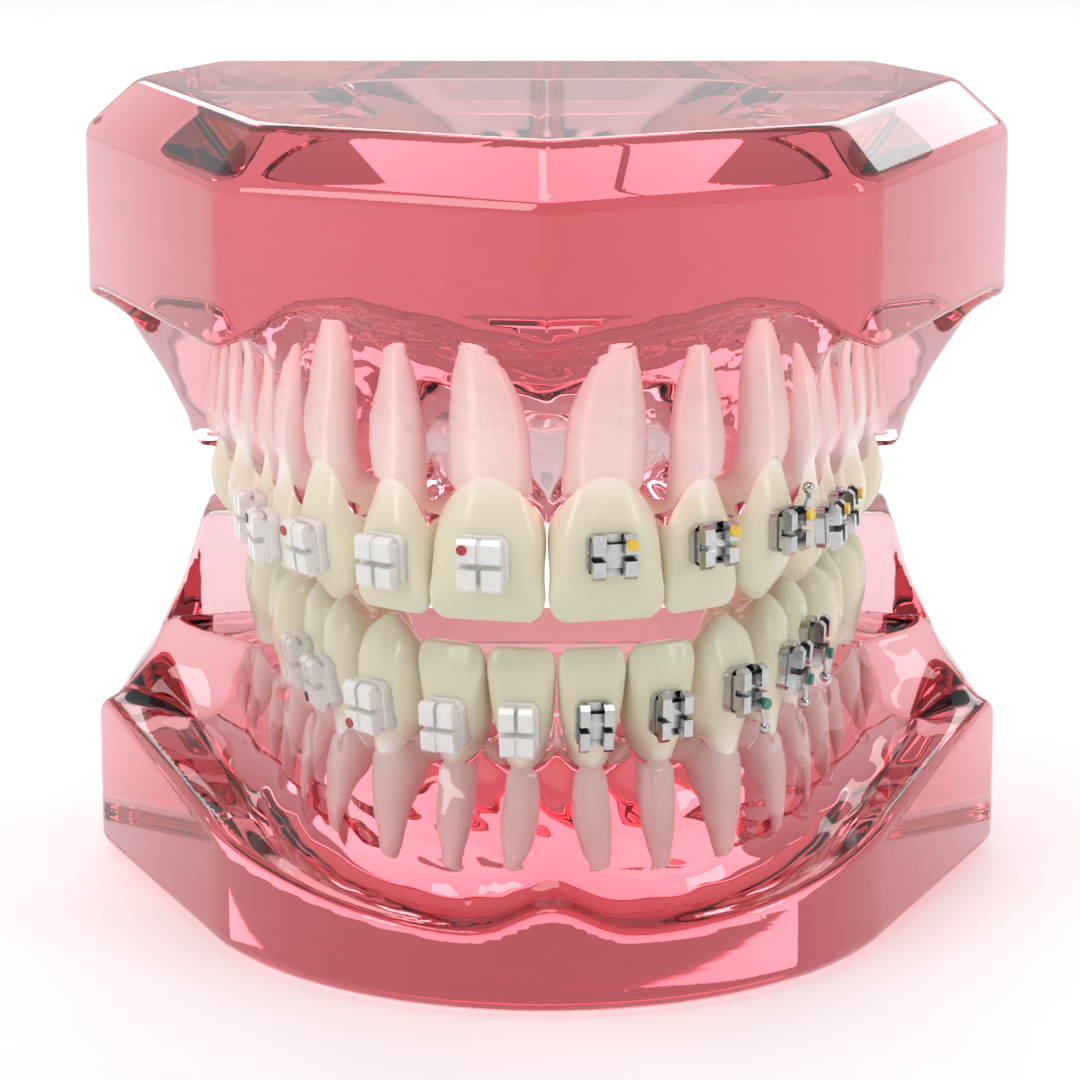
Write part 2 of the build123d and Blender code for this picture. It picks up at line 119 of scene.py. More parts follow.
@dataclass
class Tooth:
    name: str
    kind: str
    width: float
    depth: float
    crown: float
    root: float
    neck_width: float
    neck_depth: float
    tip: float  # degrees that the crown leans towards the lip
    gum_z: float  # gum margin in the middle of the tooth
    bend: float = 0.0  # how far the root's tip curves towards the back


@dataclass
class Arch:
    """A dental arch in plan: a round front, then a straight run that opens towards the back."""

    name: str
    centre_x: float
    radius: float
    centre_y: float
    sweep: float  # half angle of the round front, in degrees
    crown_up: int  # 1 where crowns point up, -1 where they point down
    front_gap: float  # from the incisors' edges to the occlusal plane
    papilla: float  # height of the gum between two front teeth
    teeth: list = field(default_factory=list)

    def at(self, s):
        """Point and heading, s millimetres from the midline."""
        a = min(s / self.radius, radians(self.sweep))
        run = max(0.0, s - self.radius * radians(self.sweep))
        x = self.centre_x + self.radius * sin(a) + run * cos(a)
        y = self.centre_y - self.radius * cos(a) + run * sin(a)
        return x, y, a

    def places(self):
        """Each tooth with its distance from the midline."""
        s = 0.0
        for t in self.teeth:
            s += (t.width + TOOTH_GAP) / 2
            yield t, s
            s += (t.width + TOOTH_GAP) / 2


UPPER = Arch("upper", 0.0, 20.0, -6.0, 76.0, -1, 0.8, 4.2)
UPPER.teeth = [
    Tooth("central_incisor", "incisor", 8.9, 7.0, 11.2, 12.2, 6.8, 6.2, 4, 44.7, 1.3),
    Tooth("lateral_incisor", "incisor", 6.7, 6.2, 10.2, 12.0, 5.0, 5.2, 4, 43.9, 0.7),
    Tooth("canine", "canine", 7.5, 8.0, 11.4, 13.6, 5.8, 6.8, 2, 44.1, 0.5),
    Tooth("first_premolar", "premolar", 6.9, 9.0, 9.2, 12.4, 5.2, 7.8, 1, 42.0),
    Tooth("second_premolar", "premolar", 6.8, 9.0, 8.8, 12.2, 5.0, 7.8, 1, 41.4),
    Tooth("first_molar", "molar", 10.2, 11.0, 8.4, 12.4, 8.0, 9.8, 0, 40.5),
    Tooth("second_molar", "molar", 9.6, 10.8, 8.0, 11.6, 7.4, 9.4, 0, 40.0),
]
LOWER = Arch("lower", 0.8, 17.2, -6.8, 74.0, 1, 1.6, 2.2)
LOWER.teeth = [
    Tooth("central_incisor", "incisor", 5.2, 6.0, 10.0, 9.8, 3.4, 5.0, 5, 19.9, 0.8),
    Tooth("lateral_incisor", "incisor", 5.6, 6.2, 10.0, 10.0, 3.6, 5.2, 5, 19.9, 0.9),
    Tooth("canine", "canine", 6.7, 7.4, 11.0, 10.4, 4.8, 6.4, 3, 19.7, 0.6),
    Tooth("first_premolar", "premolar", 7.0, 7.8, 11.0, 10.4, 4.7, 6.4, 1, 19.5, 0.5),
    Tooth("second_premolar", "premolar", 7.1, 8.2, 11.0, 10.4, 4.9, 6.8, 0, 19.6, 0.5),
    Tooth("first_molar", "molar", 11.0, 10.4, 10.6, 10.6, 8.8, 8.8, 0, 20.2),
    Tooth("second_molar", "molar", 10.4, 10.0, 10.0, 10.4, 8.2, 8.6, 0, 21.2),
]


# ---------------------------------------------------------------- smooth functions of a point
def smooth_max(a, b, k):
    """The larger of a and b, with the corner between them rounded over a width k."""
    h = np.maximum(k - np.abs(a - b), 0.0) / k
    return np.maximum(a, b) + h * h * k / 4


def smooth_min(a, b, k):
    return -smooth_max(-a, -b, k)


def ease(t):
    """0 below 0, 1 above 1 and a smooth step between."""
    t = np.clip(t, 0.0, 1.0)
    return t * t * (3 - 2 * t)


def bell(x, middle, half_width):
    return np.exp(-(((x - middle) / half_width) ** 2))


def profile(points, soften):
    """A smooth curve through a few (position, value) points, as a function."""
    places, values = (np.array(column, float) for column in zip(*points))
    step = 0.1
    dense = np.arange(places[0] - 4 * soften, places[-1] + 4 * soften, step)
    kernel = np.exp(-((np.arange(-3 * soften, 3 * soften + step, step) / soften) ** 2))
    raw = np.interp(dense, places, values)
    pad = len(kernel) // 2
    smooth = np.convolve(np.pad(raw, pad, mode="edge"), kernel / kernel.sum(), mode="same")[pad:-pad]
    return lambda x: np.interp(x, dense, smooth)


def arch_place(x, y, arch, sweep):
    """Distance outside the middle of the teeth, and distance along the arch from the midline."""
    side = np.sqrt((x - arch.centre_x) ** 2 + 0.3**2)
    a = radians(sweep)
    end_x = arch.radius * sin(a)
    end_y = arch.centre_y - arch.radius * cos(a)
    angle = np.arctan2(side, arch.centre_y - y)
    run = (side - end_x) * cos(a) + (y - end_y) * sin(a)
    beside = (side - end_x) * sin(a) - (y - end_y) * cos(a)
    in_front = angle < a
    out = np.where(in_front, np.hypot(side, y - arch.centre_y) - arch.radius, beside)
    along = np.where(in_front, arch.radius * angle, arch.radius * a + run)
    return out, along


def half_plane(x, y, start, end):
    """Distance outside the line from start to end, whose inner side is on its left."""
    dx, dy = end[0] - start[0], end[1] - start[1]
    length = np.hypot(dx, dy)
    return ((x - start[0]) * dy - (y - start[1]) * dx) / length


def sides_and_back(x, y, corner):
    """The walls behind the front corner, the same for both casts."""
    ax = np.abs(x)
    side = half_plane(ax, y, corner, (HALF_WIDTH, HEEL_Y))
    heel = half_plane(ax, y, (HALF_WIDTH, HEEL_Y), (BACK_HALF_WIDTH, HALF_DEPTH))
    walls = smooth_max(side, heel, WALL_CORNER)
    return smooth_max(walls, y - HALF_DEPTH, BACK_CORNER)


def upper_walls(x, y):
    front = half_plane(np.sqrt(x * x + 0.25), y, (0, -HALF_DEPTH), UPPER_CORNER)
    return smooth_max(front, sides_and_back(x, y, UPPER_CORNER), FRONT_CORNER)


def lower_walls(x, y):
    corner_x, corner_y = LOWER_CORNER
    centre_y = (corner_x**2 + corner_y**2 - HALF_DEPTH**2) / (2 * (HALF_DEPTH + corner_y))
    radius = HALF_DEPTH + centre_y
    arc = np.hypot(x, y - centre_y) - radius
    turned = np.arctan2(np.abs(x), centre_y - y) / atan2(corner_x, centre_y - corner_y)
    blend = ease((turned - 0.85) / 0.15)
    return arc * (1 - blend) + sides_and_back(x, y, LOWER_CORNER) * blend


def along_teeth(arch, along):
    """Gum margin, papilla share and root swelling at a distance along the arch."""
    centres = [(s, t.gum_z) for t, s in arch.places()]
    margin = np.interp(along, [s for s, _ in centres], [z for _, z in centres])
    scallop = np.zeros_like(along)
    swelling = np.zeros_like(along)
    for t, s in arch.places():
        across = 2 * (along - s) / (t.width + TOOTH_GAP)
        here = np.abs(across) <= 1
        scallop = np.where(here, np.abs(across) ** 2.3, scallop)
        swelling = np.where(here, np.cos(across * pi / 2) ** 2, swelling)
        last = s + t.width / 2
    scallop = np.where(along > last, bell(along, last, 2.0), scallop)
    return margin, scallop, swelling


def waviness(x, y, z):
    """The unevenness of hand-waxed gum, within about a tenth of a millimetre."""
    wave = np.sin(0.93 * x + 0.6 * z + 0.4) * np.cos(0.71 * y - 0.5 * z)
    wave += 0.6 * np.sin(1.9 * x - 1.1 * y + 0.7 * z) + 0.4 * np.cos(2.7 * z + 1.3 * x)
    return 0.03 * wave


def cheek_side(out):
    """1 on the outer face of a ridge, fading to 0 on its tongue side and on the walls."""
    return ease((out + 3) / 4) * ease((9 - out) / 4)


# A flank is the distance from the middle of the teeth out to the gum's face, by height. The border and the
# ledge are the heights where a cast's wall ends. A heel is half the width at the back, by height.
upper_flank = profile([(36, 3.4), (48, 3.8), (54, 3.3), (62, 3.0)], 0.8)
FRONT_BORDER = [(0, 56.6), (3, 57.5), (9, 59.0), (16, 59.6), (21, 58.4), (25, 55.6)]
upper_border = profile([*FRONT_BORDER, (28, SIDE_BORDER_Z), (40, SIDE_BORDER_Z)], 0.6)
UPPER_HEEL = [(30, 32.4), (34, 32.6), (41, 33.2), (45.7, 35.6), (51.4, 39.3), (53.9, 43.5), (56, 48)]
upper_heel = profile(UPPER_HEEL, 0.9)
lower_flank = profile([(4, 5.4), (11.4, 4.9), (16, 4.1), (28, 3.6)], 0.9)
lower_ledge = profile([(0, 7.0), (8.8, 7.1), (11.4, 8.1), (16, 8.8), (40, 9.0)], 0.6)
lower_heel = profile([(10, 46), (13.4, 41.5), (18.4, 37.5), (24.5, 34.5), (32, 32.3), (36, 31.6)], 0.9)


def upper_cast(x, y, z):
    """Below zero inside the upper cast: a bevelled block with a fold, a ridge and a palate under it."""
    walls = upper_walls(x, y)
    block = smooth_max(walls, z - HEIGHT, TOP_EDGE)
    block = smooth_max(block, (walls + z - HEIGHT + TOP_CHAMFER) / 2**0.5, TOP_EDGE)

    out, _ = arch_place(x, y, UPPER, UPPER.sweep - 4)
    inside, _ = arch_place(x, y, UPPER, UPPER.sweep + 2)
    _, along = arch_place(x, y, UPPER, UPPER.sweep)
    margin, scallop, swelling = along_teeth(UPPER, along)
    level = z + UPPER_TILT * (y + HALF_DEPTH)

    # the gum's outer face: it swells over the roots and thins towards the margin
    roots = 0.5 * swelling * bell(z, 49, 6.5)
    collar = 0.5 * ease((margin + 4 - z) / 4) * (0.3 + 0.7 * swelling)
    flank = out - upper_flank(level) - roots + collar
    # the fold under the wall's border, with ripples that follow the border
    border = SIDE_BORDER_Z + (upper_border(np.abs(x)) - SIDE_BORDER_Z) * ease((-13 - y) / 6)
    vestibule = smooth_min(flank, border - z, UPPER_FOLD)
    layer = border - z - walls
    ripple = np.sin(2 * pi * layer / 1.3 + 0.7 * np.sin(0.45 * x + 0.8))
    near_border = 0.2 + 0.8 * ease((6.5 - layer) / 3)
    vestibule = vestibule - 0.04 * ripple * ease(layer / 1.5) * near_border * ease((14 - layer) / 4)
    heel = smooth_min(0.85 * (np.abs(x) - upper_heel(z)), SIDE_BORDER_Z - z, HEEL_FOLD)
    behind = ease((y - HEEL_START_Y) / HEEL_RUN)
    outer = vestibule * (1 - behind) + heel * behind

    # the palate, with its cross ridges and the seam down its middle
    start_z = margin - 4
    vault = ease((-inside - 8) / 4)
    rugae = 0.22 * np.sin(2 * pi * (inside + 0.3 * np.abs(x)) / 4.2) * bell(y, -9, 4) * vault
    rugae += 0.35 * bell(x, 0, 1.0) * vault
    ridge_in = (-inside - RIDGE_INSIDE - tan(PALATE_SLOPE) * (z - start_z)) * cos(PALATE_SLOPE)
    inner = smooth_min(ridge_in, PALATE_TOP_Z - rugae - z, PALATE_CORNER)

    # the scalloped gum margin
    gum = margin + 0.2 - UPPER.papilla * (1 - 0.5 * ease((along - 18) / 20)) * scallop - z
    gum = gum / np.sqrt(1 + 0.5 * scallop)
    ridge = smooth_max(outer, inner, RIDGE_CREST)
    ridge = smooth_max(ridge, gum, UPPER_GUM_EDGE) + waviness(x, y, z) * cheek_side(out)
    return smooth_max(block, ridge, UPPER_BORDER_EDGE)


def lower_cast(x, y, z):
    """Below zero inside the lower cast: a rounded foot with a ridge, a tongue space and raised heels."""
    walls = lower_walls(x, y)
    block = smooth_max(walls, -z, FOOT_EDGE)
    block = smooth_max(block, (walls - z + BOTTOM_CHAMFER) / 2**0.5, FOOT_EDGE)
    block = smooth_max(block, z - HEEL_TOP_Z, HEEL_EDGE)

    out, _ = arch_place(x, y, LOWER, LOWER.sweep - 4)
    inside, _ = arch_place(x, y, LOWER, LOWER.sweep + 2)
    _, along = arch_place(x, y, LOWER, LOWER.sweep)
    margin, scallop, swelling = along_teeth(LOWER, along)
    level = z - LOWER_TILT * (y + HALF_DEPTH)

    # the gum's outer face, as on the upper cast
    roots = 0.35 * swelling * bell(z, 14, 5)
    collar = 0.95 * ease((z - margin + 4.5) / 4.5) * (0.35 + 0.65 * swelling)
    flank = out - lower_flank(level) - roots + collar
    # the trough in front of it, raised where the lip's cord joins at the midline
    frenum = 2.4 * bell(x, 0.4, 4.2) * ease((-20 - y) / 5)
    ledge = level - lower_ledge(out) - frenum
    vestibule = smooth_min(flank, ledge, LOWER_FOLD)
    heel = smooth_min(0.85 * (np.abs(x) - lower_heel(z)), z - LOWER_BORDER_Z, HEEL_FOLD)
    behind = ease((y - HEEL_START_Y) / HEEL_RUN)
    outer = vestibule * (1 - behind) + heel * behind

    # the tongue space
    ridge_in = (-inside - RIDGE_INSIDE - tan(TONGUE_SLOPE) * (HEEL_TOP_Z + 1 - z)) * cos(TONGUE_SLOPE)
    inner = smooth_min(ridge_in, z - TONGUE_FLOOR_Z, TONGUE_CORNER)

    # the scalloped gum margin, and the step up to the heel behind the last molar
    step = ease((y - PAD_START_Y) / PAD_RUN)
    pad = (HEEL_TOP_Z - margin) * step
    between = LOWER.papilla * (1 - 0.4 * ease((along - 16) / 20)) * scallop * (1 - step)
    gum = z - margin + 0.2 - between - pad
    gum = gum / np.sqrt(1 + 0.5 * scallop + 9 * bell(y, PAD_START_Y + PAD_RUN / 2, PAD_RUN / 2))
    ridge = smooth_max(outer, inner, RIDGE_CREST)
    ridge = smooth_max(ridge, gum, LOWER_GUM_EDGE) + waviness(x, y, z) * cheek_side(out)
    return smooth_max(block, ridge, LOWER_BORDER_EDGE)


# ---------------------------------------------------------------- meshes
def net_vertices(values, inside, step, low):
    """One vertex in each cell that the surface crosses, and the grid of their numbers."""
    counts = sum(
        inside[i : i - 1 or None, j : j - 1 or None, k : k - 1 or None].astype(np.int8)
        for i in (0, 1)
        for j in (0, 1)
        for k in (0, 1)
    )
    crossed = (counts > 0) & (counts < 8)
    number = np.full(counts.shape, -1)
    number[crossed] = np.arange(crossed.sum())
    cells = np.argwhere(crossed)
    total = np.zeros((len(cells), 3))
    found = np.zeros(len(cells))
    for axis in range(3):
        others = [n for n in range(3) if n != axis]
        for first in (0, 1):
            for second in (0, 1):
                start = cells.copy()
                start[:, others[0]] += first
                start[:, others[1]] += second
                end = start.copy()
                end[:, axis] += 1
                a = values[tuple(start.T)]
                b = values[tuple(end.T)]
                cut = (a < 0) != (b < 0)
                share = np.where(cut, a / np.where(cut, a - b, 1.0), 0.0)
                point = start.astype(float)
                point[:, axis] += share
                total += point * cut[:, None]
                found += cut
    return low + step * total / found[:, None], number


def net_faces(inside, number):
    """One quad round each grid edge that the surface crosses, facing outwards."""
    quads = []
    for axis in range(3):
        b, c = [(axis + 1) % 3, (axis + 2) % 3]
        start = np.moveaxis(inside, (axis, b, c), (0, 1, 2))
        cells = np.moveaxis(number, (axis, b, c), (0, 1, 2))
        here, there = start[:-1, 1:-1, 1:-1], start[1:, 1:-1, 1:-1]
        for leaving in (True, False):
            i, j, k = np.nonzero((here != there) & (here == leaving))
            ring = [cells[i, j, k], cells[i, j + 1, k], cells[i, j + 1, k + 1], cells[i, j, k + 1]]
            quads.append(np.stack(ring if leaving else ring[::-1], axis=1))
    return np.concatenate(quads)


def gradient(shape, points, reach=0.04):
    slope = np.empty_like(points)
    for axis in range(3):
        offset = np.zeros(3)
        offset[axis] = reach
        slope[:, axis] = (shape(*(points + offset).T) - shape(*(points - offset).T)) / (2 * reach)
    return slope


def mesh_object(name, points, faces, normals=None):
    """A smooth mesh object from points in millimetres."""
    mesh = bpy.data.meshes.new(name)
    mesh.from_pydata((np.asarray(points) * MM).tolist(), [], [list(map(int, f)) for f in faces])
    mesh.validate()
    mesh.polygons.foreach_set("use_smooth", [True] * len(mesh.polygons))
    if normals is not None:
        mesh.normals_split_custom_set_from_vertices(normals.tolist())
    obj = bpy.data.objects.new(name, mesh)
    bpy.context.scene.collection.objects.link(obj)
    return obj


def solid_from_field(name, shape, node):
    """The surface where shape is zero, inside the box of a CAD node."""
    low, high = (np.array(corner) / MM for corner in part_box(node))
    margin = 2.6 * GRID
    low = low - margin
    counts = np.ceil((high + margin - low) / GRID).astype(int) + 1
    axes = [low[n] + GRID * np.arange(counts[n]) for n in range(3)]
    x, y, z = np.meshgrid(*axes, indexing="ij")
    values = shape(x.ravel(), y.ravel(), z.ravel()).reshape(x.shape)
    inside = values < 0
    points, number = net_vertices(values, inside, GRID, low)
    for _ in range(3):
        slope = gradient(shape, points)
        steep = np.maximum((slope**2).sum(1), 0.05)
        move = np.clip(shape(*points.T) / steep, -0.4 * GRID, 0.4 * GRID)
        points -= slope * move[:, None]
    slope = gradient(shape, points)
    slope /= np.maximum(np.linalg.norm(slope, axis=1), 1e-9)[:, None]
    return mesh_object(name, points, net_faces(inside, number), slope)


# ---------------------------------------------------------------- teeth
def crown_sections(t):
    """(height, width, depth, distance of the lip side, squareness), from the neck to the biting edge."""
    neck = (0.0, t.neck_width, t.neck_depth, 0.50 * t.neck_depth, 2.1)
    belly = t.width if t.neck_width > 0.7 * t.width else 0.92 * t.width
    if t.kind == "incisor":
        return [
            neck,
            (0.32 * t.crown, belly, 0.96 * t.depth, 0.50 * t.depth, 2.3),
            (0.65 * t.crown, 1.05 * t.width, 0.58 * t.depth, 0.45 * t.depth, 2.6),
            (0.86 * t.crown, 1.07 * t.width, 0.34 * t.depth, 0.37 * t.depth, 2.8),
            (0.94 * t.crown, 1.00 * t.width, 0.23 * t.depth, 0.32 * t.depth, 2.6),
            (0.985 * t.crown, 0.86 * t.width, 0.16 * t.depth, 0.29 * t.depth, 2.5),
        ]
    if t.kind == "canine":
        return [
            neck,
            (0.35 * t.crown, belly, 0.98 * t.depth, 0.50 * t.depth, 2.2),
            (0.66 * t.crown, 1.02 * t.width, 0.68 * t.depth, 0.45 * t.depth, 2.3),
            (0.86 * t.crown, 0.74 * t.width, 0.36 * t.depth, 0.33 * t.depth, 2.1),
            (0.985 * t.crown, 0.20 * t.width, 0.14 * t.depth, 0.21 * t.depth, 2.0),
        ]
    return [
        neck,
        (0.42 * t.crown, 0.92 * t.width, t.depth, 0.50 * t.depth, 2.5),
        (0.74 * t.crown, 0.94 * t.width, 0.94 * t.depth, 0.46 * t.depth, 2.6),
    ]


def root_sections(t):
    """The same for the root, from its tip to just short of the neck."""
    return [
        (-t.root, 0.34 * t.neck_width, 0.32 * t.neck_depth, 0.18 * t.neck_depth, 2.0),
        (-0.75 * t.root, 0.64 * t.neck_width, 0.60 * t.neck_depth, 0.31 * t.neck_depth, 2.0),
        (-0.40 * t.root, 0.88 * t.neck_width, 0.86 * t.neck_depth, 0.43 * t.neck_depth, 2.0),
    ]


def between_sections(sections, heights):
    """Sections at more heights, on a smooth curve through the given ones."""
    table = np.array(sections)
    places, rows = table[:, 0], table[:, 1:]
    slopes = np.gradient(rows, places, axis=0)
    found = []
    for height in heights:
        n = int(np.clip(np.searchsorted(places, height) - 1, 0, len(places) - 2))
        gap = places[n + 1] - places[n]
        t = (height - places[n]) / gap
        start = (1 + 2 * t) * (1 - t) ** 2 * rows[n] + t * (1 - t) ** 2 * gap * slopes[n]
        end = t * t * (3 - 2 * t) * rows[n + 1] + t * t * (t - 1) * gap * slopes[n + 1]
        found.append(start + end)
    return found


def outline(width, depth, face, squareness, points):
    """One cross-section: a superellipse that narrows towards the tongue."""
    a = 2 * pi * np.arange(points) / points
    c, s = np.cos(a), np.sin(a)
    x = np.sign(c) * np.abs(c) ** (2 / squareness) * width / 2 * (1 + LINGUAL_TAPER / 2 * s)
    y = np.sign(s) * np.abs(s) ** (2 / squareness) * depth / 2 + face - depth / 2
    return x, y


def tube_faces(rings, points, first=0):
    """Quads between neighbouring rings of points."""
    faces = []
    for ring in range(rings - 1):
        for n in range(points):
            m = (n + 1) % points
            a, b = first + ring * points, first + (ring + 1) * points
            faces.append((a + n, a + m, b + m, b + n))
    return faces


def close_ends(points, faces, rings, count, first=0):
    """Closes the first and last ring of a tube with a fan to their middle."""
    for ring, turned in ((0, True), (rings - 1, False)):
        start = first + ring * count
        middle = np.mean([points[start + n] for n in range(count)], axis=0)
        points.append(tuple(middle))
        tip = len(points) - 1
        for n in range(count):
            a, b = start + n, start + (n + 1) % count
            faces.append((b, a, tip) if turned else (a, b, tip))


def cusps(t, x, y):
    """Height of the chewing surface as a share of the cusps' height, 1 at a cusp's tip."""
    middle = -0.04 * t.depth
    if t.kind == "premolar":
        tips = [(0.0, 0.25, 1.0, 0.46, 0.30), (0.0, -0.27, 0.80, 0.46, 0.30)]
    else:
        tips = [
            (-0.23, 0.26, 1.0, 0.28, 0.27),
            (0.24, 0.25, 0.94, 0.28, 0.27),
            (-0.23, -0.26, 0.96, 0.28, 0.27),
            (0.24, -0.26, 0.86, 0.28, 0.27),
        ]
    edge = 0.52 - 1.5 * ((np.abs(x) - 0.39 * t.width) / (0.16 * t.width)) ** 2
    height = edge - 0.3 * ((y - middle) / (0.4 * t.depth)) ** 2
    for tip_x, tip_y, rise, reach_x, reach_y in tips:
        away_x = (x - tip_x * t.width) / (reach_x * t.width)
        away_y = (y - middle - tip_y * t.depth) / (reach_y * t.depth)
        away = np.hypot(away_x, away_y)
        height = smooth_max(height, rise - 0.62 * away**1.25, 0.16)
    return np.maximum(height, -0.2)


def sculpt(t, x, y, height):
    """Grooves, fossae and the lip-side surface details of one ring of a crown."""
    share = height / t.crown
    lip = y > 0.1 * t.depth
    if t.kind in ("incisor", "canine"):
        window = ease((share - 0.30) / 0.25) * ease((1.02 - share) / 0.12)
        groove = sum(bell(x, place * t.width, 0.07 * t.width) for place in (-0.19, 0.19))
        y = y - np.where(lip, 0.07 * groove * window, 0.0)
        hollow = bell(x, 0, 0.27 * t.width) * ease((share - 0.42) / 0.2) * ease((0.98 - share) / 0.2)
        y = y + np.where(lip, 0.0, 0.05 * t.depth * hollow)
    if t.kind == "molar":
        window = ease((share - 0.35) / 0.3)
        groove = bell(x, 0, 0.06 * t.width) * window
        y = y - np.where(lip, 0.45 * groove, np.where(y < -0.2 * t.depth, -0.35 * groove, 0.0))
    grow = BOND_LIFT * ease(share / 0.15)
    middle = y.mean()
    away = np.maximum(np.hypot(x, y - middle), 0.3)
    return x * (1 + grow / away), middle + (y - middle) * (1 + grow / away)


def crown_and_root(t, count, distal):
    """Local points and faces of a tooth, without the separate roots of a molar."""
    if t.kind == "molar":
        trunk = (-0.22 * t.root, 0.94 * t.neck_width, 0.92 * t.neck_depth, 0.46 * t.neck_depth, 2.3)
        sections = [trunk, *crown_sections(t)]
        heights = np.linspace(trunk[0], 0.70 * t.crown, 26)
    elif t.kind == "premolar":
        sections = [*root_sections(t), *crown_sections(t)]
        heights = np.concatenate([np.linspace(-t.root, 0, 22)[:-1], np.linspace(0, 0.70 * t.crown, 16)])
    else:
        sections = [*root_sections(t), *crown_sections(t)]
        top = sections[-1][0]
        heights = np.concatenate([np.linspace(-t.root, 0, 22)[:-1], np.linspace(0, top, 30)])
    rings = []
    for height, (width, depth, face, square) in zip(heights, between_sections(sections, heights)):
        x, y = outline(width, depth, face, square, count)
        x, y = sculpt(t, x, y, height)
        x = x + distal * t.bend * min(height / t.root, 0) ** 2
        rings.append((x, y, np.full(count, height)))
    if t.kind in ("incisor", "canine"):
        x, y, z = rings[-1]
        width, depth, face, square = between_sections(sections, [heights[-1]])[0]
        for turn in (0.35, 0.7, 1.05, 1.4):
            inset = (1 - cos(turn)) * depth * 0.98
            cap_x, cap_y = outline(width - inset, depth - inset, face - inset / 2, 2.3, count)
            rings.append((cap_x, cap_y, z + 0.013 * t.crown * sin(turn)))
    else:
        x, y, z = rings[-1]
        middle_y = y.mean()
        rise = 0.30 * t.crown
        for turn in np.linspace(0, pi / 2, 15)[1:-1]:
            share = cos(turn) ** 0.85
            cap_x, cap_y = x * share, middle_y + (y - middle_y) * share
            height = heights[-1] + rise * cusps(t, cap_x, cap_y) * (1 - share**6) ** 0.55
            rings.append((cap_x, cap_y, height))
    if t.kind != "molar":
        x, y, z = rings[0]
        for share, drop in ((0.85, 0.3), (0.6, 0.55), (0.25, 0.7)):
            rings.insert(0, (x * share, y.mean() + (y - y.mean()) * share, z - drop))
    points = [p for ring in rings for p in zip(*ring)]
    faces = tube_faces(len(rings), count)
    close_ends(points, faces, len(rings), count)
    return points, faces


def molar_roots(t, three, count=28):
    """Points and faces of the separate roots of a molar."""
    spread = 0.27 * t.neck_width
    if three:
        places = [(-spread, 0.22 * t.neck_depth), (spread, 0.22 * t.neck_depth), (0.0, -0.24 * t.neck_depth)]
    else:
        places = [(-spread, 0.0), (spread, 0.0)]
    points, faces = [], []
    for along, buccal in places:
        across = 0.5 * t.neck_width if buccal > 0 or not three else 0.6 * t.neck_width
        deep = 0.46 * t.neck_depth if three else 0.86 * t.neck_depth
        first = len(points)
        levels = np.linspace(0, 1, 14)
        for level in levels:
            thin = 1 - level**1.35
            width = 1.3 + (across - 1.3) * thin
            depth = 1.7 + (deep - 1.7) * thin
            if level > 0.9:
                width, depth = 0.75 * width, 0.75 * depth
            hook = 0.7 * level**2 * (1 if along <= 0 else -0.4)
            x, y = outline(width, depth, depth / 2, 2.1, count)
            height = -0.05 * t.root - level * 0.95 * t.root
            centre_x = along * (1 + 0.25 * level) + hook
            points += [(px + centre_x, py + buccal, height) for px, py in zip(x, y)]
        tube = tube_faces(len(levels), count, first)
        close_ends(points, tube, len(levels), count, first)
        faces += [face[::-1] for face in tube]
    return points, faces


def tooth_axes(arch, t, s):
    """Origin at the neck and the directions along the arch, to the lip and to the crown's tip."""
    x, y, heading = arch.at(s)
    gap = {"incisor": arch.front_gap, "canine": CANINE_GAP}.get(t.kind, CUSP_GAP)
    origin = np.array([x, y, OCCLUSAL_Z - arch.crown_up * (t.crown + gap)])
    lean = radians(t.tip)
    along = np.array([cos(heading), sin(heading), 0.0]) * -arch.crown_up
    up = np.array([0.0, 0.0, arch.crown_up])
    lip = np.cross(up, along)
    return origin, along, lip * cos(lean) - up * sin(lean), up * cos(lean) + lip * sin(lean)


def shaped_like(obj, voxel):
    """Joins the overlapping shells of a mesh into one skin and smooths it."""
    remesh = obj.modifiers.new("one_skin", "REMESH")
    remesh.mode = "VOXEL"
    remesh.voxel_size = voxel * MM
    relax = obj.modifiers.new("relax", "SMOOTH")
    relax.factor = 0.5
    relax.iterations = 4
    evaluated = obj.evaluated_get(bpy.context.evaluated_depsgraph_get())
    mesh = bpy.data.meshes.new_from_object(evaluated)
    obj.modifiers.clear()
    old = obj.data
    obj.data = mesh
    bpy.data.meshes.remove(old)
    mesh.polygons.foreach_set("use_smooth", [True] * len(mesh.polygons))


def build_tooth(arch, t, s, side):
    """One tooth as its own object, with its height from the neck stored for the material."""
    points, faces = crown_and_root(t, 56, -arch.crown_up)
    if t.kind == "molar":
        more, more_faces = molar_roots(t, arch is UPPER)
        faces = faces + [tuple(n + len(points) for n in face) for face in more_faces]
        points = points + more
    origin, along, lip, up = tooth_axes(arch, t, s)
    local = np.array(points, float)
    world = origin + local[:, :1] * along + local[:, 1:2] * lip + local[:, 2:] * up
    faces = [tuple(face) for face in faces]
    flipped = np.dot(np.cross(along, lip), up) < 0
    if side == "right":
        world[:, 0] = 2 * arch.centre_x - world[:, 0]
        flipped = not flipped
    if flipped:
        faces = [face[::-1] for face in faces]
    node = f"{arch.name}_{side}_{t.name}"
    obj = mesh_object(f"{node}_tooth", world, faces)
    if t.kind == "molar":
        shaped_like(obj, 0.24)
    mirrored = np.array([-1.0, 1.0, 1.0]) if side == "right" else np.ones(3)
    start = origin * mirrored + (np.array([2 * arch.centre_x, 0, 0]) if side == "right" else 0)
    place = np.zeros(len(obj.data.vertices) * 3)
    obj.data.vertices.foreach_get("co", place)
    height = ((place.reshape(-1, 3) / MM - start) @ (up * mirrored)) / t.crown
    stored = obj.data.attributes.new("crown_height", "FLOAT", "POINT")
    stored.data.foreach_set("value", height.astype(np.float32))
    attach(obj, f"{arch.name}_cast")
    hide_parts(node)
    obj.data.materials.append(tooth_material)


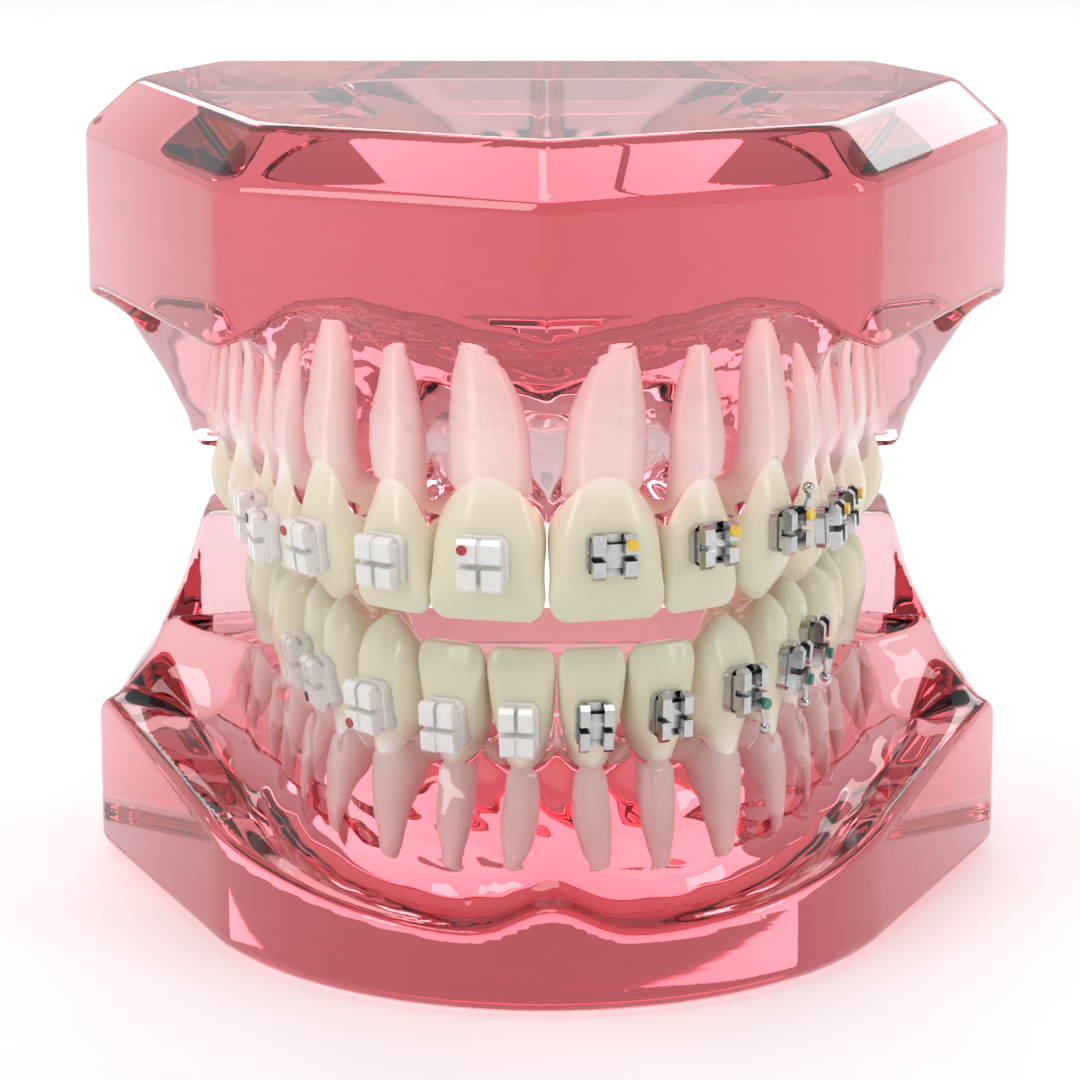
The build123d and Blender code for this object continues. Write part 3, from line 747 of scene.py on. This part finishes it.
# ---------------------------------------------------------------- materials
class Nodes:
    """A material's node tree, with short calls for the nodes used here."""

    def __init__(self, name):
        self.material = bpy.data.materials.new(name)
        self.material.use_nodes = True
        self.tree = self.material.node_tree
        self.shader = self.tree.nodes["Principled BSDF"]
        self.output = self.tree.nodes["Material Output"]

    def add(self, kind, **values):
        """A new node with the given settings."""
        node = self.tree.nodes.new(kind)
        for key, value in values.items():
            setattr(node, key, value)
        return node

    def link(self, start, end):
        self.tree.links.new(start, end)

    def noise(self, scale, detail=3.0, roughness=0.5, stretch=None):
        """Noise in the object's own coordinates, in cells per millimetre."""
        place = self.add("ShaderNodeTexCoord")
        spread = self.add("ShaderNodeMapping")
        spread.inputs["Scale"].default_value = stretch or (1, 1, 1)
        texture = self.add("ShaderNodeTexNoise")
        texture.inputs["Scale"].default_value = scale / MM
        texture.inputs["Detail"].default_value = detail
        texture.inputs["Roughness"].default_value = roughness
        self.link(place.outputs["Object"], spread.inputs["Vector"])
        self.link(spread.outputs["Vector"], texture.inputs["Vector"])
        return texture.outputs["Fac"]

    def ramp(self, source, stops):
        """Turns a number into a colour, through (position, colour) stops."""
        ramp = self.add("ShaderNodeValToRGB")
        while len(ramp.color_ramp.elements) < len(stops):
            ramp.color_ramp.elements.new(0.5)
        for element, (position, colour) in zip(ramp.color_ramp.elements, stops):
            element.position = position
            element.color = (*colour, 1)
        self.link(source, ramp.inputs["Fac"])
        return ramp.outputs["Color"]

    def range(self, source, low, high):
        """Spreads a number from 0 to 1 over low to high."""
        spread = self.add("ShaderNodeMapRange")
        spread.inputs["To Min"].default_value = low
        spread.inputs["To Max"].default_value = high
        self.link(source, spread.inputs["Value"])
        return spread.outputs["Result"]

    def bump(self, source, depth, strength):
        """Unevenness of the surface, depth in millimetres."""
        bump = self.add("ShaderNodeBump")
        bump.inputs["Strength"].default_value = strength
        bump.inputs["Distance"].default_value = depth * MM
        self.link(source, bump.inputs["Height"])
        self.link(bump.outputs["Normal"], self.shader.inputs["Normal"])

    def set(self, **values):
        """Sets the shader's own sockets: their names, with _ for each space."""
        for key, value in values.items():
            self.shader.inputs[key.replace("_", " ")].default_value = value


def make_resin():
    """Clear pink acrylic: it tints light by the thickness that it passes through."""
    m = Nodes("clear_pink_acrylic")
    m.set(IOR=1.49, Transmission_Weight=1.0)
    grain = m.noise(0.35, 4.0, 0.6)
    m.link(m.range(grain, 0.0, 0.03), m.shader.inputs["Roughness"])
    tint = [(0.3, (1.0, 0.93, 0.94)), (0.7, (1.0, 0.97, 0.97))]
    m.link(m.ramp(grain, tint), m.shader.inputs["Base Color"])
    m.bump(m.noise(0.22, 2.0, 0.45), 0.004, 0.5)
    shadow = m.add("ShaderNodeBsdfTransparent")
    shadow.inputs["Color"].default_value = (1.0, 0.985, 0.985, 1)
    path = m.add("ShaderNodeLightPath")
    mix = m.add("ShaderNodeMixShader")
    m.link(path.outputs["Is Shadow Ray"], mix.inputs[0])
    m.link(m.shader.outputs[0], mix.inputs[1])
    m.link(shadow.outputs[0], mix.inputs[2])
    m.link(mix.outputs[0], m.output.inputs["Surface"])
    volume = m.add("ShaderNodeVolumeAbsorption")
    volume.inputs["Color"].default_value = (0.81, 0.0, 0.11, 1)
    volume.inputs["Density"].default_value = 34.0
    m.link(volume.outputs[0], m.output.inputs["Volume"])
    return m.material


def make_tooth():
    """Tooth resin: a pink-white root, a creamy neck and an ivory crown that greys at its edge."""
    m = Nodes("tooth_resin")
    height = m.add("ShaderNodeAttribute", attribute_name="crown_height")
    cloud = m.noise(0.45, 3.0, 0.55)
    sway = m.range(cloud, -0.08, 0.08)
    total = m.add("ShaderNodeMath", operation="ADD")
    m.link(height.outputs["Fac"], total.inputs[0])
    m.link(sway, total.inputs[1])
    along = m.add("ShaderNodeMapRange")
    along.inputs["From Min"].default_value = -1.3
    along.inputs["From Max"].default_value = 1.05
    m.link(total.outputs[0], along.inputs["Value"])
    colour = m.ramp(
        along.outputs["Result"],
        [
            (0.0, (0.99, 0.93, 0.89)),
            (0.50, (0.98, 0.92, 0.86)),
            (0.60, (0.82, 0.76, 0.60)),
            (0.80, (0.77, 0.72, 0.53)),
            (1.0, (0.71, 0.70, 0.54)),
        ],
    )
    m.link(colour, m.shader.inputs["Base Color"])
    m.set(Subsurface_Weight=0.25, Subsurface_Radius=(1.0, 0.6, 0.4), Subsurface_Scale=0.0012)
    m.set(Coat_Weight=0.25, Coat_Roughness=0.12)
    m.link(m.range(cloud, 0.22, 0.40), m.shader.inputs["Roughness"])
    m.bump(m.noise(1.6, 4.0, 0.6, (1, 1, 0.45)), 0.03, 0.5)
    return m.material


def make_steel():
    """Polished steel, with painted shade darkening the slots and the space behind the wings."""
    m = Nodes("bracket_steel")
    m.set(Metallic=1.0)
    grain = m.noise(2.2, 4.0, 0.6)
    polish = m.ramp(grain, [(0.3, (0.50, 0.50, 0.51)), (0.7, (0.64, 0.63, 0.62))])
    # painted shade: an ambient occlusion ramp darkens the base colour in the slots and recesses
    hollow = m.add("ShaderNodeAmbientOcclusion", only_local=True, samples=8)
    hollow.inputs["Distance"].default_value = 0.9 * MM
    painted_recess_shade = m.ramp(hollow.outputs["AO"], [(0.30, (0.03, 0.03, 0.035)), (0.85, (1.0, 1.0, 1.0))])
    shade = m.add("ShaderNodeMix", data_type="RGBA", blend_type="MULTIPLY")
    colour_a, colour_b, colour_out = shade.inputs[6], shade.inputs[7], shade.outputs[2]
    shade.inputs["Factor"].default_value = 1.0
    m.link(polish, colour_a)
    m.link(painted_recess_shade, colour_b)
    m.link(colour_out, m.shader.inputs["Base Color"])
    m.link(m.range(m.noise(4.0, 3.0, 0.6, (1, 1, 5)), 0.10, 0.24), m.shader.inputs["Roughness"])
    m.bump(m.noise(3.0, 2.0, 0.5), 0.02, 0.4)
    return m.material


def make_ceramic():
    """Creamy ceramic that lets a little light through."""
    m = Nodes("translucent_ceramic")
    m.set(IOR=1.62, Transmission_Weight=0.12)
    m.set(Subsurface_Weight=0.6, Subsurface_Radius=(1.0, 0.9, 0.8), Subsurface_Scale=0.0008)
    grain = m.noise(1.8, 3.0, 0.5)
    cream = [(0.3, (0.90, 0.88, 0.85)), (0.7, (0.94, 0.925, 0.90))]
    m.link(m.ramp(grain, cream), m.shader.inputs["Base Color"])
    m.link(m.range(grain, 0.12, 0.28), m.shader.inputs["Roughness"])
    m.bump(m.noise(3.5, 2.0, 0.5), 0.015, 0.5)
    return m.material


def make_paint(name, dark, light):
    """Glossy paint in one colour, uneven as a hand-placed dot is."""
    m = Nodes(name)
    grain = m.noise(2.5, 3.0, 0.6)
    m.link(m.ramp(grain, [(0.3, dark), (0.7, light)]), m.shader.inputs["Base Color"])
    m.link(m.range(grain, 0.25, 0.5), m.shader.inputs["Roughness"])
    m.set(Coat_Weight=0.4, Coat_Roughness=0.15)
    m.bump(m.noise(3.0, 2.0, 0.5), 0.02, 0.6)
    return m.material


def finish_node(node, material):
    """Gives a carried-over CAD node its procedural material."""
    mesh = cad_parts[node].data
    mesh.materials.clear()
    mesh.materials.append(material)


resin_material = make_resin()
tooth_material = make_tooth()
steel_material = make_steel()
ceramic_material = make_ceramic()
paints = {
    "yellow": make_paint("yellow_paint", (0.72, 0.42, 0.02), (0.95, 0.68, 0.06)),
    "green": make_paint("green_paint", (0.01, 0.16, 0.12), (0.03, 0.30, 0.22)),
    "red": make_paint("red_paint", (0.32, 0.01, 0.02), (0.55, 0.03, 0.04)),
    "black": make_paint("black_paint", (0.012, 0.010, 0.012), (0.05, 0.045, 0.05)),
}

# ---------------------------------------------------------------- the object
for arch, shape in ((UPPER, upper_cast), (LOWER, lower_cast)):
    base = f"{arch.name}_base"
    cast = solid_from_field(f"{base}_resin", shape, base)
    cast.data.materials.append(resin_material)
    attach(cast, f"{arch.name}_cast")
    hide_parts(base)
    for tooth, s in arch.places():
        for side in ("left", "right"):
            build_tooth(arch, tooth, s, side)

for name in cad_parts:
    if name.endswith("_metal_bracket"):
        finish_node(name, steel_material)
    elif name.endswith("_ceramic_bracket"):
        finish_node(name, ceramic_material)
    elif name.endswith("_id_dots"):
        finish_node(name, paints[name.split("_")[1]])


# ---------------------------------------------------------------- floor, light and camera
def area_light(name, place, target, size, power):
    """A rectangular softbox that faces the target."""
    data = bpy.data.lights.new(name, "AREA")
    data.shape = "RECTANGLE"
    data.size, data.size_y = size
    data.energy = power
    light = bpy.data.objects.new(name, data)
    light.location = place
    light.rotation_euler = (Vector(target) - Vector(place)).to_track_quat("-Z", "Y").to_euler()
    bpy.context.scene.collection.objects.link(light)


def make_floor(half=4.0):
    """A plain pale floor, a film of air below the model's foot."""
    level = -0.15 * MM
    corners = [(-half, -half, level), (half, -half, level), (half, half, level), (-half, half, level)]
    mesh = bpy.data.meshes.new("floor")
    mesh.from_pydata(corners, [], [(0, 1, 2, 3)])
    floor = bpy.data.objects.new("floor", mesh)
    bpy.context.scene.collection.objects.link(floor)
    m = Nodes("pale_floor")
    shades = [(0.3, (0.90, 0.90, 0.90)), (0.7, (0.93, 0.93, 0.93))]
    m.link(m.ramp(m.noise(0.05), shades), m.shader.inputs["Base Color"])
    m.set(Roughness=0.6)
    mesh.materials.append(m.material)


def make_world():
    """Soft white surroundings that are greyer behind the camera."""
    world = bpy.data.worlds.new("studio")
    world.use_nodes = True
    tree = world.node_tree
    background = tree.nodes["Background"]
    background.inputs["Strength"].default_value = 0.75
    direction = tree.nodes.new("ShaderNodeTexCoord")
    parts = tree.nodes.new("ShaderNodeSeparateXYZ")
    shades = tree.nodes.new("ShaderNodeValToRGB")
    span = tree.nodes.new("ShaderNodeMapRange")
    span.inputs["From Min"].default_value = -1.0
    tree.links.new(direction.outputs["Generated"], parts.inputs["Vector"])
    tree.links.new(parts.outputs["Y"], span.inputs["Value"])
    tree.links.new(span.outputs["Result"], shades.inputs["Fac"])
    tree.links.new(shades.outputs["Color"], background.inputs["Color"])
    grey, white = shades.color_ramp.elements
    grey.position = 0.10
    grey.color = (0.40, 0.40, 0.41, 1)
    white.position = 0.60
    white.color = (1, 1, 1, 1)
    bpy.context.scene.world = world


def make_camera():
    """A long lens in front of the model, a little above it."""
    aim = Vector((0, -0.0115, 0.036))
    data = bpy.data.cameras.new("camera")
    data.sensor_width = 36.0
    data.lens = FOCAL_LENGTH
    data.shift_x = CAMERA_SHIFT
    data.clip_start = 0.01
    camera = bpy.data.objects.new("camera", data)
    camera.location = aim + CAMERA_DISTANCE * Vector((0, -cos(CAMERA_RISE), sin(CAMERA_RISE)))
    camera.rotation_euler = (pi / 2 - CAMERA_RISE, 0, 0)
    bpy.context.scene.collection.objects.link(camera)
    bpy.context.scene.camera = camera


# name, place in metres, size in metres, power in watts
SOFTBOXES = [
    ("overhead_softbox", (-0.10, -0.28, 0.95), (0.60, 0.45), 3.6),
    ("left_softbox", (-0.62, -0.55, 0.40), (0.16, 0.42), 1.3),
    ("right_softbox", (0.70, -0.30, 0.35), (0.14, 0.42), 1.0),
    ("back_softbox", (0.10, 0.80, 0.45), (0.90, 0.30), 2.2),
]
FOCAL_LENGTH = 138.47  # millimetres
CAMERA_DISTANCE = 0.360
CAMERA_RISE = radians(13.2)
CAMERA_SHIFT = -0.0065

make_floor()
for name, place, size, power in SOFTBOXES:
    area_light(name, place, (model_low + model_high) * MM / 2, size, power)
make_world()
make_camera()

settings = bpy.context.scene
settings.view_settings.view_transform = "Standard"
settings.cycles.max_bounces = 20
settings.cycles.transmission_bounces = 20
settings.cycles.transparent_max_bounces = 16
settings.cycles.use_denoising = True
